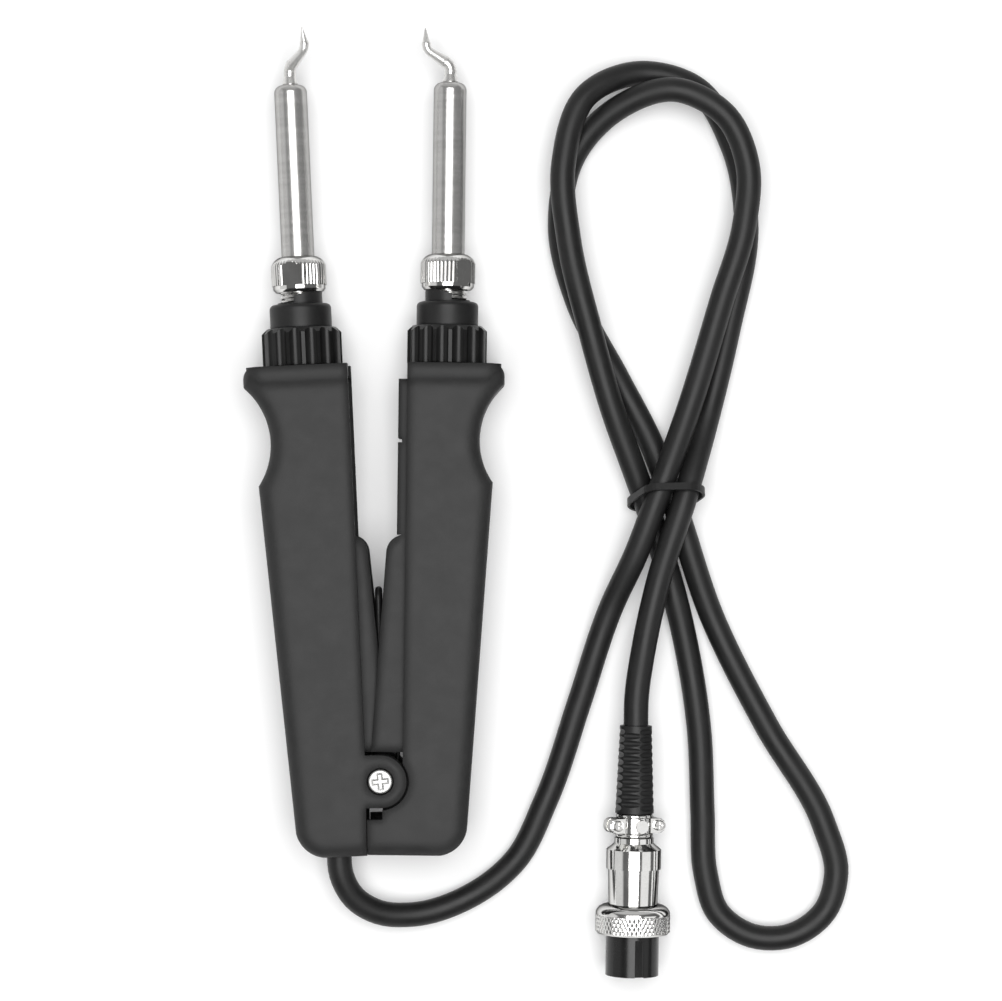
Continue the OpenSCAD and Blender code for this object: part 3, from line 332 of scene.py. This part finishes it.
def pivot_head(name):
    """The pivot screw, with a domed head and a tapered cross recess."""
    def recess(x, y):
        best = 0.0
        for u, v in ((abs(x), abs(y)), (abs(y), abs(x))):
            best = max(best, min((CROSS["reach"] - u) / (CROSS["reach"] - CROSS["floor_reach"]),
                                 (CROSS["half"] - v) / (CROSS["half"] - CROSS["floor_half"]), 1.0))
        return CROSS["depth"] * best

    def row(radius):
        def at(angle):
            turned = angle + CROSS["turn"]
            x, y = radius * math.cos(turned), radius * math.sin(turned)
            return radius, HEAD["top"] - HEAD["dome"] * (radius / HEAD["radius"])**2 - recess(x, y)
        return at

    under = HEAD["top"] - HEAD["height"]
    rim = HEAD["top"] - HEAD["dome"]
    rows = [row(r) for r in steps(0.0, HEAD["radius"] - HEAD["edge"], HEAD["step"])]
    for i in range(1, HEAD["edge_rows"] + 1):
        turn = math.radians(90 * i / HEAD["edge_rows"])
        rows.append(plain(HEAD["radius"] - HEAD["edge"] * (1 - math.sin(turn)),
                          rim - HEAD["edge"] * (1 - math.cos(turn))))
    rows += [plain(HEAD["radius"], under), plain(HEAD["shank"], under),
             plain(HEAD["shank"], HEAD["tail"]), plain(0.0, HEAD["tail"])]
    return turned_piece(name, Vector((0, 0, 0)), (0, 0, 1), rows[::-1], HEAD["sides"], capped=True,
                        sharp=20)


PIECES = [
    # piece, body that carries it, node that it replaces, material slot
    (cable, "left_arm", "cable", "rubber_black"),
    (cable_root, "left_arm", "cable", "rubber_black"),
    (threaded_bush("left_thread", -1), "left_arm", "left_bush", "steel"),
    (threaded_bush("right_thread", 1), "right_arm", "right_bush", "steel"),
    (knurled_nut("left_knurl", -1), "left_nut", "left_nut", "nickel"),
    (knurled_nut("right_knurl", 1), "right_nut", "right_nut", "nickel"),
    (knurled_ring("ring_knurl"), "plug_ring", "plug_ring", "nickel"),
    (clamp_saddles("clamp_saddles"), "left_arm", "plug_clamp", "nickel"),
    (pivot_head("pivot_cross"), "left_arm", "pivot_screw", "nickel"),
]
for piece, body, replaced, slot in PIECES:
    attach(piece, body)
    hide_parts(replaced)


# Copies of CAD nodes that replace them, with their placing baked into the mesh
SLOT_OF = {entry["node"]: entry["material_slot"] for entry in frame["record"]["subparts"]}
BENDS = [
    # piece, node that it replaces, start and end of the bend along X in millimetres
    ("spring_wire", "torsion_spring", -3.0, 3.0),
    ("crossover_wire", "crossover_lead", 1.0, 5.0),
]
BENDING = []
for name, source, first, last in BENDS:
    piece = bpy.data.objects.new(name, frame["nodes"][source].data.copy())
    scene.collection.objects.link(piece)
    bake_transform(piece)
    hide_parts(source)
    BENDING.append((piece, source))


# Floor and light
def node(tree, kind, **values):
    made = tree.nodes.new(kind)
    for key, value in values.items():
        setattr(made, key, value)
    return made


def ramp(tree, stops):
    made = tree.nodes.new("ShaderNodeValToRGB")
    band = made.color_ramp.elements
    while len(band) < len(stops):
        band.new(0.5)
    for element, (place, colour) in zip(band, stops):
        element.position = place
        element.color = (*colour, 1.0)
    return made


def grey(v):
    return (v, v, v)


def new_material(name):
    material = bpy.data.materials.new(name)
    material.use_nodes = True
    tree = material.node_tree
    tree.nodes.clear()
    out = tree.nodes.new("ShaderNodeOutputMaterial")
    return material, tree, out


def floor_material(glow_share=0.12):
    """A pale floor that takes shadows, and that glows a little to camera and glossy rays."""
    material, tree, out = new_material("floor_white")
    diffuse = tree.nodes.new("ShaderNodeBsdfDiffuse")
    coords = tree.nodes.new("ShaderNodeTexCoord")
    noise = node(tree, "ShaderNodeTexNoise")
    noise.inputs["Scale"].default_value = 3.0
    shades = ramp(tree, [(0.3, grey(0.90)), (0.7, grey(0.92))])
    tree.links.new(coords.outputs["Object"], noise.inputs["Vector"])
    tree.links.new(noise.outputs["Fac"], shades.inputs["Fac"])
    tree.links.new(shades.outputs["Color"], diffuse.inputs["Color"])
    glow = tree.nodes.new("ShaderNodeEmission")
    glow.inputs["Strength"].default_value = 1.0
    path = tree.nodes.new("ShaderNodeLightPath")
    seen = node(tree, "ShaderNodeMath", operation="MAXIMUM")
    tree.links.new(path.outputs["Is Camera Ray"], seen.inputs[0])
    tree.links.new(path.outputs["Is Glossy Ray"], seen.inputs[1])
    share = node(tree, "ShaderNodeMath", operation="MULTIPLY")
    share.inputs[1].default_value = glow_share
    tree.links.new(seen.outputs[0], share.inputs[0])
    both = tree.nodes.new("ShaderNodeMixShader")
    tree.links.new(share.outputs[0], both.inputs["Fac"])
    tree.links.new(diffuse.outputs[0], both.inputs[1])
    tree.links.new(glow.outputs[0], both.inputs[2])
    tree.links.new(both.outputs[0], out.inputs["Surface"])
    return material


FLOOR_HALF = 2
FLOOR_DROP = 0.0001  # keeps the floor clear of the pieces that lie on it
CORNERS = [(x * FLOOR_HALF, y * FLOOR_HALF, 0) for x, y in ((-1, -1), (1, -1), (1, 1), (-1, 1))]
floor_data = bpy.data.meshes.new("floor")
floor_data.from_pydata(CORNERS, [], [(0, 1, 2, 3)])
floor_data.materials.append(floor_material())
floor = bpy.data.objects.new("floor", floor_data)
floor.location = (0, 0, -FLOOR_DROP)
scene.collection.objects.link(floor)


def studio_world():
    """A dim grey room with pale walls on the left and behind the tips."""
    world = bpy.data.worlds.new("studio")
    world.use_nodes = True
    tree = world.node_tree
    tree.nodes.clear()
    out = tree.nodes.new("ShaderNodeOutputWorld")
    back = tree.nodes.new("ShaderNodeBackground")
    coords = tree.nodes.new("ShaderNodeTexCoord")
    split = tree.nodes.new("ShaderNodeSeparateXYZ")
    tree.links.new(coords.outputs["Generated"], split.inputs[0])
    walls = node(tree, "ShaderNodeMath", operation="MAXIMUM")
    for index, (axis, stops) in enumerate((
            ("X", [(0.0, grey(0.75)), (0.10, grey(0.75)), (0.14, grey(0.14)), (1.0, grey(0.14))]),
            ("Y", [(0.0, grey(0.3)), (0.15, grey(0.14)), (0.80, grey(0.14)), (0.87, grey(0.55))]))):
        place = tree.nodes.new("ShaderNodeMapRange")
        place.inputs["From Min"].default_value = -1.0
        place.inputs["From Max"].default_value = 1.0
        shades = ramp(tree, stops)
        tree.links.new(split.outputs[axis], place.inputs["Value"])
        tree.links.new(place.outputs["Result"], shades.inputs["Fac"])
        tree.links.new(shades.outputs["Color"], walls.inputs[index])
    tree.links.new(walls.outputs[0], back.inputs["Strength"])
    tree.links.new(back.outputs[0], out.inputs["Surface"])
    back.inputs["Color"].default_value = (1.0, 1.0, 1.0, 1.0)
    scene.world = world


def soft_panel(name, place, aim, size, power):
    """A rectangular lamp that faces a point."""
    data = bpy.data.lights.new(name, "AREA")
    data.shape = "RECTANGLE"
    data.size, data.size_y = size
    data.energy = power
    obj = bpy.data.objects.new(name, data)
    obj.location = place
    obj.rotation_euler = (Vector(aim) - Vector(place)).to_track_quat("-Z", "Y").to_euler()
    scene.collection.objects.link(obj)


studio_world()
soft_panel("softbox", place=(0.05, 0.06, 1.25), aim=(0.05, 0.06, 0.0),
           size=(0.95, 1.1), power=19.0)
soft_panel("side_panel", place=(0.55, -0.12, 0.38), aim=(0.06, -0.03, 0.01),
           size=(0.30, 0.45), power=0.36)


# Materials
PATCH_SIZE = 12  # a colour patch is this many grains across
GRAIN_HEIGHT = 0.00004
GRAIN_SHARE = 0.5  # how much the grain adds to the patches
MOTTLE = (0.3, 0.7)  # noise at which a finish reaches its dark and its light end


def finish_of(name, dark, light, rough, *, scale, bump, metal=0.0, stretch=(1, 1, 1),
              specular=0.5, round_edge=None, painted_edge_shade=None):
    """A procedural finish in object space: mottled colour and gloss, with a grain in relief."""
    material, tree, out = new_material(name)
    shader = tree.nodes.new("ShaderNodeBsdfPrincipled")
    coords = tree.nodes.new("ShaderNodeTexCoord")
    place = tree.nodes.new("ShaderNodeMapping")
    place.inputs["Scale"].default_value = stretch
    tree.links.new(coords.outputs["Object"], place.inputs["Vector"])
    patches = tree.nodes.new("ShaderNodeTexNoise")
    patches.inputs["Scale"].default_value = scale / PATCH_SIZE
    patches.inputs["Detail"].default_value = 4.0
    grain = tree.nodes.new("ShaderNodeTexNoise")
    grain.inputs["Scale"].default_value = scale
    grain.inputs["Detail"].default_value = 3.0
    tree.links.new(place.outputs["Vector"], patches.inputs["Vector"])
    tree.links.new(place.outputs["Vector"], grain.inputs["Vector"])
    mixed = node(tree, "ShaderNodeMath", operation="ADD", use_clamp=True)
    fine = node(tree, "ShaderNodeMath", operation="MULTIPLY_ADD")
    fine.inputs[1].default_value = GRAIN_SHARE
    fine.inputs[2].default_value = -GRAIN_SHARE / 2
    tree.links.new(grain.outputs["Fac"], fine.inputs[0])
    tree.links.new(patches.outputs["Fac"], mixed.inputs[0])
    tree.links.new(fine.outputs[0], mixed.inputs[1])
    colours = ramp(tree, [(MOTTLE[0], dark), (MOTTLE[1], light)])
    tree.links.new(mixed.outputs[0], colours.inputs["Fac"])
    tree.links.new(colours.outputs["Color"], shader.inputs["Base Color"])
    gloss = tree.nodes.new("ShaderNodeMapRange")
    gloss.inputs["From Min"].default_value = MOTTLE[0]
    gloss.inputs["From Max"].default_value = MOTTLE[1]
    gloss.inputs["To Min"].default_value = rough[0]
    gloss.inputs["To Max"].default_value = rough[1]
    tree.links.new(mixed.outputs[0], gloss.inputs["Value"])
    tree.links.new(gloss.outputs["Result"], shader.inputs["Roughness"])
    relief = tree.nodes.new("ShaderNodeBump")
    relief.inputs["Strength"].default_value = bump
    relief.inputs["Distance"].default_value = GRAIN_HEIGHT
    tree.links.new(grain.outputs["Fac"], relief.inputs["Height"])
    tree.links.new(relief.outputs["Normal"], shader.inputs["Normal"])
    if round_edge:
        edges = node(tree, "ShaderNodeBevel", samples=6)
        edges.inputs["Radius"].default_value = round_edge
        tree.links.new(edges.outputs["Normal"], relief.inputs["Normal"])
    shader.inputs["Metallic"].default_value = metal
    shader.inputs["Specular IOR Level"].default_value = specular
    if painted_edge_shade:  # painted shade: on metal this input tints what is reflected at a grazing angle, here dark, so that metal edges get dark outlines
        shader.inputs["Specular Tint"].default_value = (*painted_edge_shade, 1.0)
    tree.links.new(shader.outputs[0], out.inputs["Surface"])
    return material


FINISHES = {
    "shell_black": finish_of(
        "moulded_shell", grey(0.016), grey(0.022), (0.50, 0.58),
        scale=2600, bump=0.35, specular=0.28, round_edge=0.0035),
    "collar_black": finish_of(
        "moulded_collar", grey(0.007), grey(0.010), (0.28, 0.36),
        scale=1800, bump=0.1, specular=0.22),
    "nose_black": finish_of(
        "moulded_nose", grey(0.010), grey(0.014), (0.42, 0.50),
        scale=1800, bump=0.15, specular=0.28),
    "rubber_black": finish_of(
        "sheath_rubber", grey(0.009), grey(0.014), (0.42, 0.50),
        scale=1500, bump=0.2, specular=0.3),
    "tie_black": finish_of(
        "tie_plastic", grey(0.010), grey(0.014), (0.40, 0.48),
        scale=1500, bump=0.1, specular=0.3),
    "insert_black": finish_of(
        "insert_plastic", grey(0.006), grey(0.009), (0.20, 0.28),
        scale=1500, bump=0.06, specular=0.35),
    # painted shade: a dark grazing tint gives the plated nickel dark outlines at its edges
    "nickel": finish_of(
        "plated_nickel", (0.74, 0.735, 0.72), (0.82, 0.815, 0.80), (0.08, 0.14),
        metal=1.0, scale=2200, bump=0.04, painted_edge_shade=grey(0.1)),
    # painted shade: a dark grazing tint darkens the barrels' edges
    "barrel_steel": finish_of(
        "brushed_barrel", (0.46, 0.455, 0.445), (0.54, 0.535, 0.525), (0.20, 0.26),
        metal=0.75, scale=900, stretch=(0.5, 14, 0.5), bump=0.04, painted_edge_shade=grey(0.2)),
    "tip_iron": finish_of(
        "plated_tip", (0.62, 0.615, 0.60), (0.74, 0.735, 0.72), (0.26, 0.34),
        metal=0.75, scale=1800, bump=0.08),
    "steel": finish_of(
        "turned_steel", (0.58, 0.575, 0.565), (0.70, 0.695, 0.685), (0.20, 0.28),
        metal=1.0, scale=1600, bump=0.08),
    # the torsion spring's own finish: a near-black steel, darker than the steel slot
    "spring_steel": finish_of(
        "dark_spring", grey(0.020), grey(0.035), (0.35, 0.45),
        metal=0.6, scale=1600, bump=0.1),
    "dull_zinc": finish_of(
        "dull_zinc", (0.46, 0.46, 0.45), (0.56, 0.56, 0.55), (0.48, 0.58),
        metal=1.0, scale=1600, bump=0.1),
    "brass": finish_of(
        "brass", (0.60, 0.44, 0.17), (0.72, 0.55, 0.24), (0.2, 0.3),
        metal=1.0, scale=1600, bump=0.1),
    "copper": finish_of(
        "copper", (0.60, 0.30, 0.18), (0.70, 0.38, 0.24), (0.25, 0.35),
        metal=1.0, scale=1600, bump=0.1),
    "ceramic": finish_of(
        "ceramic", (0.72, 0.70, 0.64), (0.80, 0.78, 0.73), (0.4, 0.5),
        scale=1600, bump=0.1),
    "lead_red": finish_of(
        "lead_red", (0.35, 0.02, 0.015), (0.45, 0.03, 0.02), (0.4, 0.5),
        scale=1200, bump=0.1),
}
OWN_FINISH = {"torsion_spring": "spring_steel", "pivot_cross": "dull_zinc"}
for name, obj in frame["nodes"].items():
    for holder in obj.material_slots:
        holder.material = FINISHES[OWN_FINISH.get(name, SLOT_OF[name])]
for piece, source in BENDING:
    for holder in piece.material_slots:
        holder.material = FINISHES[OWN_FINISH.get(source, SLOT_OF[source])]
for piece, _, _, slot in PIECES:
    piece.data.materials.append(FINISHES[OWN_FINISH.get(piece.name, slot)])
